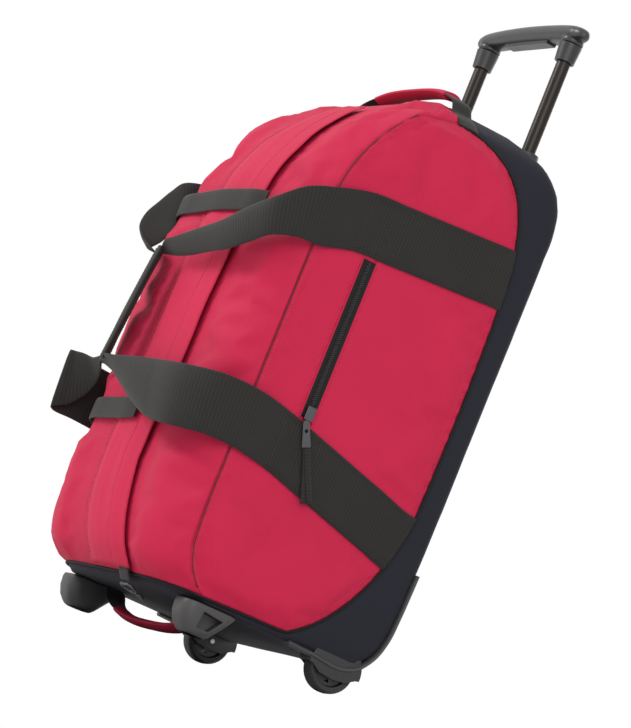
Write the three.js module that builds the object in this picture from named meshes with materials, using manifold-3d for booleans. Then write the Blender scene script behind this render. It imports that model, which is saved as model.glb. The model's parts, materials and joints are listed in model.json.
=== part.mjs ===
// A soft rolling duffel bag, standing upright on two wheels and two moulded feet.
// Millimetres, +Z up. -Y is the front with the main zip and storm flap, +Y is the back with the
// trolley, and +X is the side with the zipped pocket.
import * as THREE from 'three';
import { mergeVertices } from 'three/addons/utils/BufferGeometryUtils.js';
import Module from 'manifold-3d';

const wasm = await Module();
wasm.setup();

// Driving dimensions
const GAP = 0.4; // space between pieces that touch
const CENTRE_Y = 37.6; // moves the bag so that the origin is under the middle of its depth
const FABRIC = 3; // wall of the padded fabric body
const HALF_WIDTH = 182;
const BACK_Y = 145;
const SEAM_Y = -133;
const FRONT_Y = -175;
const WEBBING_WIDTH = 70;
const WEBBING = 2.2; // thickness of the wide webbing
const WHEEL_X = 164;
const WHEEL_Y = 88;
const WHEEL_RADIUS = 28.5;
const WHEEL_WIDTH = 22;
const AXLE_RADIUS = 3;
const FOOT_X = 162;
const FOOT_HEIGHT = 38;
const TUBE_X = 100;
const TUBE_Y = 112;
const OUTER_TUBE_RADIUS = 11.5;
const INNER_TUBE_RADIUS = 8.5;
const TUBE_WALL = 1.2;
const SOCKET_Z = 788; // bottom of the grip's sockets, with the trolley partly out
const GRIP_Z = 822;
const ZIP_X = 30; // centre line of the main zip
const TAB_X = 72; // the flap's webbing tab, near its free corner
const SLIT_HALF = 7;
const POCKET_ZIP_Y = -61;
const POCKET_ZIP = [268, 458]; // low and high ends

// The body's outline, level by level: z, half width, back, side seam, front.
const LEVELS = [
  [36, 177, 108, -86, -132],
  [42, 180, 116, -99, -142],
  [56, HALF_WIDTH, 127, -118, -156],
  [80, HALF_WIDTH, 136, -130, -167],
  [130, HALF_WIDTH, 140, SEAM_Y, -174],
  [190, HALF_WIDTH, 142, SEAM_Y, FRONT_Y],
  [450, HALF_WIDTH, 144, SEAM_Y, FRONT_Y],
  [530, HALF_WIDTH, BACK_Y, -130, -160],
  [580, HALF_WIDTH, BACK_Y, -114, -136],
  [614, 180, 140, -92, -108],
  [640, 172, 124, -66, -80],
  [660, 152, 106, -40, -52],
  [673, 120, 86, -18, -26],
  [680, 82, 66, 0, -6],
];
const COLUMN = { halfWidth: 1, back: 2, seam: 3, front: 4 };
const BODY_LOW = LEVELS[0][0];
const BODY_HIGH = LEVELS[LEVELS.length - 1][0];

const bag = new THREE.Group();
bag.position.y = CENTRE_Y;

const colour = (hex, roughness, metalness = 0) => ({ color: hex, roughness, metalness });
const RED = colour(0xc62b4b, 0.75);
const CHARCOAL = colour(0x34343c, 0.8);
const BLACK_WEB = colour(0x302e2d, 0.7);
const GREY_PLASTIC = colour(0x696766, 0.55);
const DARK_PLASTIC = colour(0x2b2a2c, 0.5);
const DARK_METAL = colour(0x2a2422, 0.35, 0.8);
const GUNMETAL = colour(0x55565a, 0.35, 0.9);
const STEEL = colour(0x9a9b9e, 0.3, 1);
const RUBBER = colour(0x1d1c1c, 0.85);
const BOARD = colour(0x8a7a62, 0.9);

function add(name, geometry, look) {
  const mesh = new THREE.Mesh(geometry, new THREE.MeshStandardMaterial(look));
  mesh.name = name;
  bag.add(mesh);
  return mesh;
}

// Solids

function solid(geometry) {
  const plain = geometry.index ? geometry.toNonIndexed() : geometry.clone();
  plain.deleteAttribute('normal');
  plain.deleteAttribute('uv');
  const merged = mergeVertices(plain, 1e-4);
  return new wasm.Manifold(new wasm.Mesh({
    numProp: 3,
    vertProperties: merged.attributes.position.array,
    triVerts: new Uint32Array(merged.index.array),
  }));
}

function geometryOf(manifold) {
  const mesh = manifold.getMesh();
  const geometry = new THREE.BufferGeometry();
  geometry.setAttribute('position', new THREE.BufferAttribute(mesh.vertProperties, 3));
  geometry.setIndex(new THREE.BufferAttribute(mesh.triVerts, 1));
  const flat = geometry.toNonIndexed();
  flat.computeVertexNormals();
  return flat;
}

const cut = (from, ...tools) => tools.reduce((left, tool) => left.subtract(tool), from);

function block(low, high) {
  const size = high.map((value, i) => value - low[i]);
  const middle = high.map((value, i) => (value + low[i]) / 2);
  return new THREE.BoxGeometry(...size).translate(...middle);
}

// A closed solid through rings of points, each ring running the same way round.
function loft(rings) {
  const count = rings[0].length;
  const position = rings.flat(2);
  const index = [];
  for (let r = 0; r < rings.length - 1; r += 1) {
    for (let i = 0; i < count; i += 1) {
      const a = r * count + i;
      const b = r * count + ((i + 1) % count);
      index.push(a, b, b + count, a, b + count, a + count);
    }
  }
  const last = (rings.length - 1) * count;
  for (let i = 1; i < count - 1; i += 1) {
    index.push(0, i + 1, i);
    index.push(last, last + i, last + i + 1);
  }
  const geometry = new THREE.BufferGeometry();
  geometry.setAttribute('position', new THREE.Float32BufferAttribute(position, 3));
  geometry.setIndex(index);
  const outward = solid(geometry).volume() > 0;
  if (!outward) {
    for (let i = 0; i < index.length; i += 3) {
      [index[i + 1], index[i + 2]] = [index[i + 2], index[i + 1]];
    }
    geometry.setIndex(index);
  }
  return geometry;
}

// A side view outline in y and z, extruded along x from low to high.
function sideExtrude(shape, low, high, curveSegments = 6) {
  const geometry = new THREE.ExtrudeGeometry(shape, {
    depth: high - low, bevelEnabled: false, curveSegments,
  });
  const turn = new THREE.Matrix4().makeBasis(
    new THREE.Vector3(0, 1, 0), new THREE.Vector3(0, 0, 1), new THREE.Vector3(1, 0, 0),
  );
  return geometry.applyMatrix4(turn).translate(low, 0, 0);
}

const outline = (points) => new THREE.Shape(points.map(([y, z]) => new THREE.Vector2(y, z)));

function upright(radius, low, high, x, y, sides = 20, topRadius = radius) {
  const geometry = new THREE.CylinderGeometry(topRadius, radius, high - low, sides);
  return geometry.rotateX(Math.PI / 2).translate(x, y, (low + high) / 2);
}

function crosswise(radius, low, high, y, z, sides = 20) {
  const geometry = new THREE.CylinderGeometry(radius, radius, high - low, sides);
  return geometry.rotateZ(Math.PI / 2).translate((low + high) / 2, y, z);
}

// A flat band along a smooth path. Each stop is a place and the vector from the band's middle
// to its edge there.
function ribbon(stops, thickness, steps) {
  const places = stops.map(([place]) => new THREE.Vector3(...place));
  const edges = stops.map(([, edge]) => new THREE.Vector3(...edge));
  const path = new THREE.CatmullRomCurve3(places, false, 'centripetal');
  const edgePath = new THREE.CatmullRomCurve3(edges, false, 'catmullrom', 0.3);
  const rings = [];
  for (let i = 0; i <= steps; i += 1) {
    const at = i / steps;
    const middle = path.getPoint(at);
    const edge = edgePath.getPoint(at);
    const face = path.getTangent(at).cross(edge).normalize().multiplyScalar(thickness / 2);
    const corner = (e, f) => middle.clone().addScaledVector(edge, e).addScaledVector(face, f);
    rings.push([corner(-1, -1), corner(1, -1), corner(1, 1), corner(-1, 1)].map((p) => p.toArray()));
  }
  return loft(rings);
}

// The body's surface

function level(z, column) {
  const above = LEVELS.findIndex((row) => row[0] >= z);
  if (above <= 0) {
    return LEVELS[Math.max(above, 0)][column];
  }
  const [low, high] = [LEVELS[above - 1], LEVELS[above]];
  return THREE.MathUtils.mapLinear(z, low[0], high[0], low[column], high[column]);
}

// The front face's y at x and z: flat in the middle, turning back to the seams.
function frontAt(x, z) {
  const seam = level(z, COLUMN.seam);
  const across = Math.min(Math.abs(x) / level(z, COLUMN.halfWidth), 1);
  return seam + (level(z, COLUMN.front) - seam) * (1 - across ** 5);
}

function bodyRing([z, halfWidth, back, seam], inset) {
  const w = halfWidth - inset;
  const b = back - inset;
  const corner = 9;
  const ring = [];
  for (let i = 0; i <= 4; i += 1) {
    const angle = (i / 4) * (Math.PI / 2);
    ring.push([w - corner + corner * Math.cos(angle), b - corner + corner * Math.sin(angle)]);
  }
  for (let i = 0; i <= 4; i += 1) {
    const angle = (1 + i / 4) * (Math.PI / 2);
    ring.push([corner - w + corner * Math.cos(angle), b - corner + corner * Math.sin(angle)]);
  }
  const frontSteps = 12;
  for (let i = 0; i <= frontSteps; i += 1) {
    const across = -Math.cos((i / frontSteps) * Math.PI);
    const y = frontAt(across * halfWidth, z) + inset;
    ring.push([across * w, Math.min(y, seam + inset)]);
  }
  return ring.map(([x, y]) => [x, y, 0]);
}

function bodyLoft(inset) {
  const squeeze = (z) => THREE.MathUtils.mapLinear(
    z, BODY_LOW, BODY_HIGH, BODY_LOW + inset, BODY_HIGH - inset,
  );
  return loft(LEVELS.map((row) => bodyRing(row, inset).map(([x, y]) => [x, y, squeeze(row[0])])));
}

// The charcoal tray: back, base, and a gusset that widens over the back corners.
function trayOutline(dy, dz) {
  const shape = new THREE.Shape();
  shape.moveTo(-160 + dy, 20 + dz);
  shape.lineTo(-160 + dy, 41 + dz);
  shape.lineTo(16 + dy, 43 + dz);
  shape.quadraticCurveTo(95 + dy, 98 + dz, 111 + dy, 216 + dz);
  shape.quadraticCurveTo(116 + dy, 345 + dz, 111 + dy, 473 + dz);
  shape.quadraticCurveTo(110 + dy, 640 + dz, -6 + dy, 652 + dz);
  shape.lineTo(12 + dy, 710 + dz);
  shape.lineTo(220 + dy, 710 + dz);
  shape.lineTo(220 + dy, 20 + dz);
  return shape;
}

// Everything in front of the side seams, and the crown of the top.
function frontOutline(dy) {
  const seam = LEVELS.filter(([z]) => z < 630).map((row) => [row[COLUMN.seam] + dy, row[0]]);
  seam[0][1] -= 20;
  const crown = [[-64 + dy, 638], [dy, 654], [30 + dy, 656]];
  return outline([...seam, ...crown, [30 + dy, 720], [-260, 720], [-260, BODY_LOW - 20]]);
}

const HALF_SPAN = HALF_WIDTH + 40;
const WELL = { x: [140, 178.6], y: [46, 170], z: [0, 70] };

function wheelWell(side) {
  const [near, far] = WELL.x;
  const low = [side > 0 ? near : -far, WELL.y[0], WELL.z[0]];
  const high = [side > 0 ? far : -near, WELL.y[1], WELL.z[1]];
  return solid(block(low, high));
}

function buildBody() {
  const shell = solid(bodyLoft(0)).subtract(solid(bodyLoft(FABRIC)));
  const span = (shape) => solid(sideExtrude(shape, -HALF_SPAN, HALF_SPAN));
  const tubeHoles = [-1, 1].flatMap((side) => [
    solid(upright(COLLAR.radius + GAP, COLLAR.low - GAP, 760, side * TUBE_X, TUBE_Y, 24)),
    solid(upright(OUTER_TUBE_RADIUS + GAP, 560, 760, side * TUBE_X, TUBE_Y, 24)),
  ]);
  const tray = cut(shell.intersect(span(trayOutline(0, 0))), wheelWell(1), wheelWell(-1), ...tubeHoles);
  add('gusset_tray', geometryOf(tray), CHARCOAL);

  const red = cut(shell, span(trayOutline(-GAP, GAP)), span(trayOutline(-GAP, -GAP)));
  const slit = solid(block([ZIP_X - SLIT_HALF, -220, 100], [ZIP_X + SLIT_HALF, -60, 600]));
  add('front_panel', geometryOf(red.intersect(span(frontOutline(0))).subtract(slit)), RED);

  const sides = red.subtract(span(frontOutline(GAP)));
  for (const [name, low, high] of [['near', 1, HALF_SPAN], ['far', -HALF_SPAN, -1]]) {
    const half = solid(block([low, -300, 0], [high, 300, 760]));
    add(`side_panel_${name}`, geometryOf(sides.intersect(half)), RED);
  }
}

// Zips, storm flap and its hook

// A band on the front face: at each height, a line of [x, stand-off] pairs from left to right.
function frontBand(line, thickness, heights) {
  const ring = (z) => {
    const under = line.map(([x, off]) => [x, frontAt(x, z) - off, z]);
    const over = line.map(([x, off]) => [x, frontAt(x, z) - off - thickness, z]).reverse();
    return [...under, ...over];
  };
  return loft(heights.map(ring));
}

const heightsBetween = (low, high) => [
  low, ...LEVELS.map(([z]) => z).filter((z) => z > low + 4 && z < high - 4), high,
];

const FLAP_OFF = 7.2;

function buildMainZip() {
  const tape = [[ZIP_X - 16, GAP], [ZIP_X + 16, GAP]];
  add('main_zip_tape', geometryOf(solid(frontBand(tape, 1.4, heightsBetween(92, 608)))), BLACK_WEB);
  const face = FRONT_Y - GAP - 1.4 - GAP;
  add('main_zip_slider', block([ZIP_X - 6, face - 3.4, 192], [ZIP_X + 6, face, 210]), GUNMETAL);

  const flap = [[-28, GAP], [-4, FLAP_OFF], [86, FLAP_OFF]];
  add('storm_flap', geometryOf(solid(frontBand(flap, 1.6, heightsBetween(60, 640)))), RED);

  const tabStops = [[55, 5], [45, 8], [33, 9]].map(([z, off]) => [[TAB_X, frontAt(TAB_X, z) - off, z], [14, 0, 0]]);
  add('flap_tab', geometryOf(solid(ribbon(tabStops, 2, 4))), BLACK_WEB);
  const bar = { y: -138, z: 28 };
  const hook = solid(sideExtrude(outline([
    [bar.y - 3, bar.z + 2], [bar.y - 3, bar.z - 3], [bar.y + 28, bar.z - 9], [bar.y + 30, bar.z - 4],
  ]), TAB_X - 13, TAB_X + 13));
  const eye = solid(block([TAB_X - 6, bar.y + 8, 0], [TAB_X + 6, bar.y + 18, 40]));
  add('flap_hook', geometryOf(hook.subtract(eye)), GUNMETAL);
}

const PULL_PIVOT = { x: 187.2, y: POCKET_ZIP_Y, z: 262 };
const PULL_ANGLE = THREE.MathUtils.degToRad(24); // the pull hangs turned towards the back

function buildPocketZip() {
  const x = HALF_WIDTH + GAP;
  const [low, high] = POCKET_ZIP;
  add('pocket_zip_tape', block([x, POCKET_ZIP_Y - 8, low], [x + 1.4, POCKET_ZIP_Y + 8, high]), BLACK_WEB);
  const sliderX = x + 1.4 + GAP;
  add('pocket_slider', block(
    [sliderX, POCKET_ZIP_Y - 5.5, low - 2], [sliderX + 4.6, POCKET_ZIP_Y + 5.5, low + 14],
  ), GUNMETAL);

  // The tab and its webbing turn about the pivot, in the plane of the side panel.
  const tabShape = new THREE.Shape();
  tabShape.absarc(0, 0, 4, 0, Math.PI);
  tabShape.lineTo(-5.5, -26);
  tabShape.lineTo(5.5, -26);
  const hole = new THREE.Path();
  hole.absarc(0, -8, 2.2, 0, Math.PI * 2, true);
  tabShape.holes.push(hole);
  const place = (geometry) => geometry
    .rotateX(PULL_ANGLE).translate(0, PULL_PIVOT.y, PULL_PIVOT.z);
  add('pocket_pull_tab', place(sideExtrude(tabShape, PULL_PIVOT.x - 0.9, PULL_PIVOT.x + 0.9)), GUNMETAL);
  add('pocket_pull_webbing', place(block(
    [PULL_PIVOT.x - 1.8, -7, -88], [PULL_PIVOT.x + 1.8, 7, -26 - GAP],
  )), BLACK_WEB);
}

// Webbing

const WEB_HALF = WEBBING_WIDTH / 2;
const SEWN_FRONT = -93;
// Heights of the sewn straps' middles, at the front end and at the gusset.
const STRAPS = { upper: [494, 509], lower: [235, 184] };

function buildSewnStraps() {
  for (const [sideName, side] of [['near', 1], ['far', -1]]) {
    for (const [name, [front, back]] of Object.entries(STRAPS)) {
      const shape = outline([
        [SEWN_FRONT, front - WEB_HALF], [106, back - WEB_HALF], [108, back + WEB_HALF], [SEWN_FRONT, front + WEB_HALF],
      ]);
      const inner = HALF_WIDTH + GAP;
      const low = side > 0 ? inner : -inner - WEBBING;
      add(`sewn_strap_${sideName}_${name}`, sideExtrude(shape, low, low + WEBBING), BLACK_WEB);
    }
  }
}

// The free webbing of each handle: from the sewn end to the corner where it folds into the grip.
const HANDLES = {
  near_handle_upper: [
    [[186, -95, 493], [0, 0, 35]],
    [[187, -130, 482], [0, 0, 35]],
    [[177, -168, 470], [0, -4, 33]],
    [[138, -196, 452], [0, -10, 26]],
    [[78, -206, 424], [0, -13, 14]],
    [[16, -206, 411], [3, -13, 7]],
    [[-36, -203, 410], [11, -8, 2]],
  ],
  near_handle_lower: [
    [[186, -95, 235], [0, 0, 35]],
    [[187, -130, 239], [0, 0, 35]],
    [[177, -168, 242], [0, -2, 34]],
    [[130, -199, 243], [0, -3, 34]],
    [[70, -207, 243], [0, -4, 33]],
    [[4, -208, 247], [0, -5, 27]],
    [[-62, -208, 264], [8, -7, 5]],
  ],
  far_handle_upper: [
    [[-186, -95, 493], [0, 0, 35]],
    [[-186.5, -134, 489], [0, -9, 28]],
    [[-182, -163, 467], [-5, -8, 23]],
    [[-166, -184, 440], [-20, -6, 13]],
    [[-136, -196, 424], [-14, -6, 6]],
    [[-108, -196, 414], [-6, -5, 4]],
  ],
  far_handle_lower: [
    [[-186, -95, 235], [0, 0, 35]],
    [[-186.4, -135, 237], [0, 0, 35]],
    [[-186.4, -175, 239], [0, 0, 35]],
    [[-186.4, -204, 241], [0, 0, 35]],
    [[-174, -213, 243], [0, 0, 34]],
    [[-152, -208, 250], [0, 0, 22]],
    [[-122, -197, 266], [4, -3, 9]],
  ],
};
const GRIP_EDGE = [13, -6, 0];
const GRIPS = {
  near_handle_grip: [
    [[-52, -203, 404], GRIP_EDGE], [[-64, -207, 342], GRIP_EDGE], [[-76, -208, 274], GRIP_EDGE],
  ],
  far_handle_grip: [
    [[-90, -190, 408], GRIP_EDGE], [[-102, -193, 342], GRIP_EDGE], [[-113, -193, 276], GRIP_EDGE],
  ],
};

function buildHandles() {
  for (const [name, stops] of Object.entries(HANDLES)) {
    add(name, geometryOf(solid(ribbon(stops, WEBBING, 20))), BLACK_WEB);
  }
  for (const [name, stops] of Object.entries(GRIPS)) {
    add(name, geometryOf(solid(ribbon(stops, 8, 6))), BLACK_WEB);
  }
  // Flat bands that lie over the front, across the storm flap.
  for (const [name, z, half] of [['upper', 477, 14], ['lower', 218, 19]]) {
    const across = [-176, -150, -110, -70, -30, 0, 60, 90, 112];
    const off = [4, 5, 5, 6, 10, 13, 13, 12.5, 8.5];
    const stops = across.map((x, i) => [[x, frontAt(x, z) - off[i] - 1, z], [0, 0, half]]);
    add(`front_band_${name}`, geometryOf(solid(ribbon(stops, 1.8, 16))), BLACK_WEB);
  }
}

// A grab handle: a padded sleeve on a webbing strap, standing off by rise at its middle.
function buildGrabHandle(name, y, z, rise, halfSpan, sleeveHalf) {
  const at = (x) => z + rise * (1 - (Math.abs(x) / halfSpan) ** 3);
  const stops = (xs, half) => xs.map((x) => [[x, y, at(x)], [0, half, 0]]);
  const s = sleeveHalf;
  add(`${name}_sleeve`, geometryOf(solid(ribbon(stops([-s, -s / 2, 0, s / 2, s], 12), 9, 10))), RED);
  for (const [sideName, side] of [['near', 1], ['far', -1]]) {
    // The webbing gathers to a narrow anchor, so that the handle can swing clear of the fabric.
    const ends = [[s + GAP, 12.5], [(s + halfSpan) / 2, 9], [halfSpan, 4]];
    const web = ends.map(([x, half]) => [[x * side, y, at(x)], [0, half, 0]]);
    add(`${name}_end_${sideName}`, geometryOf(solid(ribbon(web, 3, 6))), BLACK_WEB);
  }
}

// Feet, wheels and their housings

function buildFoot(sideName, side) {
  const shape = new THREE.Shape();
  shape.moveTo(-98, 0);
  shape.quadraticCurveTo(-112, 8, -112, FOOT_HEIGHT - 6);
  shape.lineTo(-108, FOOT_HEIGHT - 3);
  shape.lineTo(-92, 35.4);
  shape.lineTo(-44, 35.4);
  shape.lineTo(-70, 0);
  const recess = outline([[-88, 8], [-72, 8], [-60, 24], [-66, 28], [-84, 28]]);
  const [low, high] = [FOOT_X * side - 22, FOOT_X * side + 22];
  const body = solid(sideExtrude(shape, low, high));
  const outside = side > 0 ? [high - 12, high + 5] : [low - 5, low + 12];
  const lofted = cut(body, solid(bodyLoft(-GAP)), solid(sideExtrude(recess, ...outside)));
  add(`foot_${sideName}`, geometryOf(lofted), GREY_PLASTIC);
}

function buildWheel(sideName, side) {
  const middle = WHEEL_X * side;
  const half = WHEEL_WIDTH / 2;
  const rim = 19.5;
  const tyreProfile = [
    [rim + GAP, -half + 1], [WHEEL_RADIUS - 3, -half], [WHEEL_RADIUS - 0.6, -half + 3], [WHEEL_RADIUS, 0],
    [WHEEL_RADIUS - 0.6, half - 3], [WHEEL_RADIUS - 3, half], [rim + GAP, half - 1], [rim + GAP, -half + 1],
  ];
  const bore = AXLE_RADIUS + 0.35;
  const hubProfile = [
    [bore, -half + 0.8], [8, -half + 0.8], [8, -half + 5], [rim, -half + 5], [rim, half - 5], [8, half - 5],
    [8, half - 0.8], [bore, half - 0.8], [bore, -half + 0.8],
  ];
  const spin = (profile) => new THREE.LatheGeometry(profile.map(([r, x]) => new THREE.Vector2(r, x)), 36)
    .rotateZ(Math.PI / 2).translate(middle, WHEEL_Y, WHEEL_RADIUS);
  add(`wheel_tyre_${sideName}`, spin(tyreProfile), RUBBER);
  const lightening = [];
  for (let i = 0; i < 3; i += 1) {
    const angle = (i / 3) * Math.PI * 2 + 0.5;
    const y = WHEEL_Y + 13.5 * Math.cos(angle);
    const z = WHEEL_RADIUS + 13.5 * Math.sin(angle);
    lightening.push(solid(crosswise(3.6, middle - 20, middle + 20, y, z, 3)));
  }
  add(`wheel_hub_${sideName}`, geometryOf(cut(solid(spin(hubProfile)), ...lightening)), DARK_PLASTIC);
  const [low, high] = [middle - 15.5 * side, middle + 13.8 * side].sort((a, b) => a - b);
  add(`wheel_axle_${sideName}`, crosswise(AXLE_RADIUS, low, high, WHEEL_Y, WHEEL_RADIUS, 16), STEEL);
}

// The moulded skid: a bridge over the wheel, with a lip that guards the back corner.
function buildHousing(sideName, side) {
  const shape = new THREE.Shape();
  shape.moveTo(18, 31);
  shape.lineTo(60, 20);
  shape.lineTo(100, 20);
  shape.quadraticCurveTo(139, 26, 143, 92);
  shape.lineTo(145.5, 158);
  shape.lineTo(134, 158);
  shape.lineTo(134, WELL.z[1] - GAP);
  shape.lineTo(WELL.y[0] + GAP, WELL.z[1] - GAP);
  shape.lineTo(WELL.y[0] + GAP, 35.5);
  shape.lineTo(18, 35.5);
  const inner = 148;
  const outer = HALF_WIDTH;
  const [low, high] = side > 0 ? [inner, outer] : [-outer, -inner];
  const well = solid(crosswise(WHEEL_RADIUS + 3, WHEEL_X * side - 12, WHEEL_X * side + 12, WHEEL_Y, WHEEL_RADIUS, 28));
  const under = solid(block([WHEEL_X * side - 12, WHEEL_Y - 31.5, 0], [WHEEL_X * side + 12, WHEEL_Y + 31.5, 26]));
  const bore = solid(crosswise(AXLE_RADIUS + 0.3, WHEEL_X * side - 19, WHEEL_X * side + 19, WHEEL_Y, WHEEL_RADIUS, 16));
  const trayPart = solid(bodyLoft(-GAP)).subtract(wheelWell(side));
  const skid = cut(solid(sideExtrude(shape, low, high)), well, under, bore, trayPart);
  add(`wheel_housing_${sideName}`, geometryOf(skid), GREY_PLASTIC);
}

// Trolley

const COLLAR = { radius: 16, low: 646, high: 672 };

function tube(radius, low, high, x) {
  const hollow = upright(radius - TUBE_WALL, low - 1, high + 1, x, TUBE_Y, 20);
  return geometryOf(solid(upright(radius, low, high, x, TUBE_Y, 20)).subtract(solid(hollow)));
}

function buildTrolley() {
  for (const [sideName, side] of [['near', 1], ['far', -1]]) {
    const x = TUBE_X * side;
    add(`outer_tube_${sideName}`, tube(OUTER_TUBE_RADIUS, 62, COLLAR.low - GAP, x), STEEL);
    const collar = solid(upright(COLLAR.radius, COLLAR.low, COLLAR.high, x, TUBE_Y, 24, COLLAR.radius - 2));
    const bore = solid(upright(INNER_TUBE_RADIUS + 0.5, COLLAR.low - 1, COLLAR.high + 1, x, TUBE_Y, 24));
    add(`tube_collar_${sideName}`, geometryOf(collar.subtract(bore)), DARK_PLASTIC);
    add(`inner_tube_${sideName}`, tube(INNER_TUBE_RADIUS, 290, SOCKET_Z + 10, x), DARK_METAL);
    add(`release_rod_${sideName}`, upright(2, 320, SOCKET_Z + 5, x, TUBE_Y, 8), STEEL);
    const socket = solid(upright(12, SOCKET_Z, GRIP_Z - 11.5, x, TUBE_Y, 20, 14));
    const seat = solid(upright(INNER_TUBE_RADIUS + GAP, SOCKET_Z - 1, SOCKET_Z + 10 + GAP, x, TUBE_Y, 20));
    add(`grip_socket_${sideName}`, geometryOf(socket.subtract(seat)), DARK_PLASTIC);
  }

  // The grip is an oval bar, thicker and a little higher in the middle.
  const rings = [];
  for (let i = 0; i <= 14; i += 1) {
    const x = -128 + (256 * i) / 14;
    const along = 1 - Math.abs(x / 128) ** 2;
    const end = Math.min(1, (128 - Math.abs(x)) / 18 + 0.45);
    const ring = [];
    for (let j = 0; j < 16; j += 1) {
      const angle = (j / 16) * Math.PI * 2;
      const up = (10 + along) * end * Math.sin(angle);
      ring.push([x, TUBE_Y + 15 * end * Math.cos(angle), GRIP_Z + 5 * along + up]);
    }
    rings.push(ring);
  }
  const underside = GRIP_Z - 8;
  const pocket = solid(block([-52, TUBE_Y - 7.5, underside - 20], [52, TUBE_Y + 7.5, GRIP_Z + 6]));
  const seats = [-1, 1].map((side) => solid(
    upright(14 + GAP, GRIP_Z - 40, GRIP_Z - 11.5 + GAP, TUBE_X * side, TUBE_Y, 20),
  ));
  add('trolley_grip', geometryOf(cut(solid(loft(rings)), pocket, ...seats)), DARK_PLASTIC);
  add('release_button', block([-51, TUBE_Y - 7, underside - 1], [51, TUBE_Y + 7, GRIP_Z + 1]), GREY_PLASTIC);

  // Inside the bag: brackets that clamp the outer tubes to the stiff back board.
  const saddles = [-1, 1].map((side) => solid(
    upright(OUTER_TUBE_RADIUS + GAP, 0, 700, side * TUBE_X, TUBE_Y, 20),
  ));
  for (const [name, low, high] of [['lower', 88, 110], ['upper', 578, 598]]) {
    const bar = solid(block([-122, 97, low], [122, 129.9, high]));
    const relief = solid(block([-82, 90, low - 1], [82, 122, high + 1]));
    add(`tube_bracket_${name}`, geometryOf(cut(bar, relief, ...saddles)), DARK_PLASTIC);
  }
  add('back_board', block([-152, 130.3, 94], [152, 133.3, 600]), BOARD);
}

function buildScrews() {
  for (const [name, z] of [['lower', 99], ['upper', 588]]) {
    for (const [sideName, side] of [['near', 1], ['far', -1]]) {
      const head = new THREE.CylinderGeometry(4, 3, 2.4, 12).translate(side * 60, 120.4, z);
      add(`bracket_screw_${name}_${sideName}`, head, STEEL);
    }
  }
}

buildBody();
buildMainZip();
buildPocketZip();
buildSewnStraps();
buildHandles();
buildGrabHandle('top_grab', 2, 677, 22, 128, 88);
buildGrabHandle('bottom_grab', -60, 28, -23, 130, 90);
for (const [sideName, side] of [['near', 1], ['far', -1]]) {
  buildFoot(sideName, side);
  buildWheel(sideName, side);
  buildHousing(sideName, side);
}
buildTrolley();
buildScrews();

const group = new THREE.Group();
group.add(bag);
export default group;
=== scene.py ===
"""A soft rolling duffel bag: fabric, webbing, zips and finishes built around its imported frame.
Shapes are written in millimetres, in the bag's own frame: -Y front, +X the side with the pocket."""

import json
import math

import bpy
import numpy as np
from mathutils import Matrix, Vector, noise
from mathutils.bvhtree import BVHTree


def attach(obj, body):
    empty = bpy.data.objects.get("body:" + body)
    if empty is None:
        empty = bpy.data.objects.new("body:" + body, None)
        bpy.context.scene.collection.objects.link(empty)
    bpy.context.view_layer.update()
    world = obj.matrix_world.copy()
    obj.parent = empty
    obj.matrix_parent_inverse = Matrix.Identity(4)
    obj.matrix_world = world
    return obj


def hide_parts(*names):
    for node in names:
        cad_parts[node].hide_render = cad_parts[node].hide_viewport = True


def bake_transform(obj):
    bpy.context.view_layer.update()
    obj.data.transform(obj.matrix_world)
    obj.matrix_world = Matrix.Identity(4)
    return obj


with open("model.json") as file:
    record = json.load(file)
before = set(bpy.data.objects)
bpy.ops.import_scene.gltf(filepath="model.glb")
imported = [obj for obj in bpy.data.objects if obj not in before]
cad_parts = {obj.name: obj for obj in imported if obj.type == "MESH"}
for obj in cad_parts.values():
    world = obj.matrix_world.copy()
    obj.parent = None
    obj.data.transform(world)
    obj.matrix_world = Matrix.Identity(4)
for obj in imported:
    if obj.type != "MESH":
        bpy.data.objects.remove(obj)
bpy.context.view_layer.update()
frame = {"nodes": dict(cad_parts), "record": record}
JOINTS = {joint["name"]: joint for joint in frame["record"]["behaviour"]["joints"]}
MM = 0.001
SIDES = (("near", 1), ("far", -1))
HOOK_X = 72
# Where the wheels' axle is in the bag's own frame, which gives the frame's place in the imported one.
WHEEL_Y, WHEEL_Z = 88, 28.5
CENTRE_Y = JOINTS["wheel_near_spin"]["pos_m"][1] / MM - WHEEL_Y

# The body's outline, level by level: z, half width, back, side seam, front.
LEVELS = np.array([
    [36, 177, 108, -86, -132], [42, 180, 116, -99, -142], [56, 182, 127, -118, -156],
    [80, 182, 136, -130, -167], [130, 182, 140, -133, -174], [190, 182, 142, -133, -175],
    [450, 182, 144, -133, -175], [530, 182, 145, -130, -160], [580, 182, 145, -114, -136],
    [614, 180, 140, -92, -108], [640, 172, 124, -66, -80], [660, 152, 106, -40, -52],
    [673, 120, 86, -18, -26], [680, 82, 66, 0, -6],
], float)
HALF_WIDTH, BACK, SEAM, FRONT = 1, 2, 3, 4
LOW, HIGH = LEVELS[0, 0], LEVELS[-1, 0]
BODY_MIDDLE = Vector((0, -10, 340))


# ---------------------------------------------------------------- mesh helpers

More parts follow.
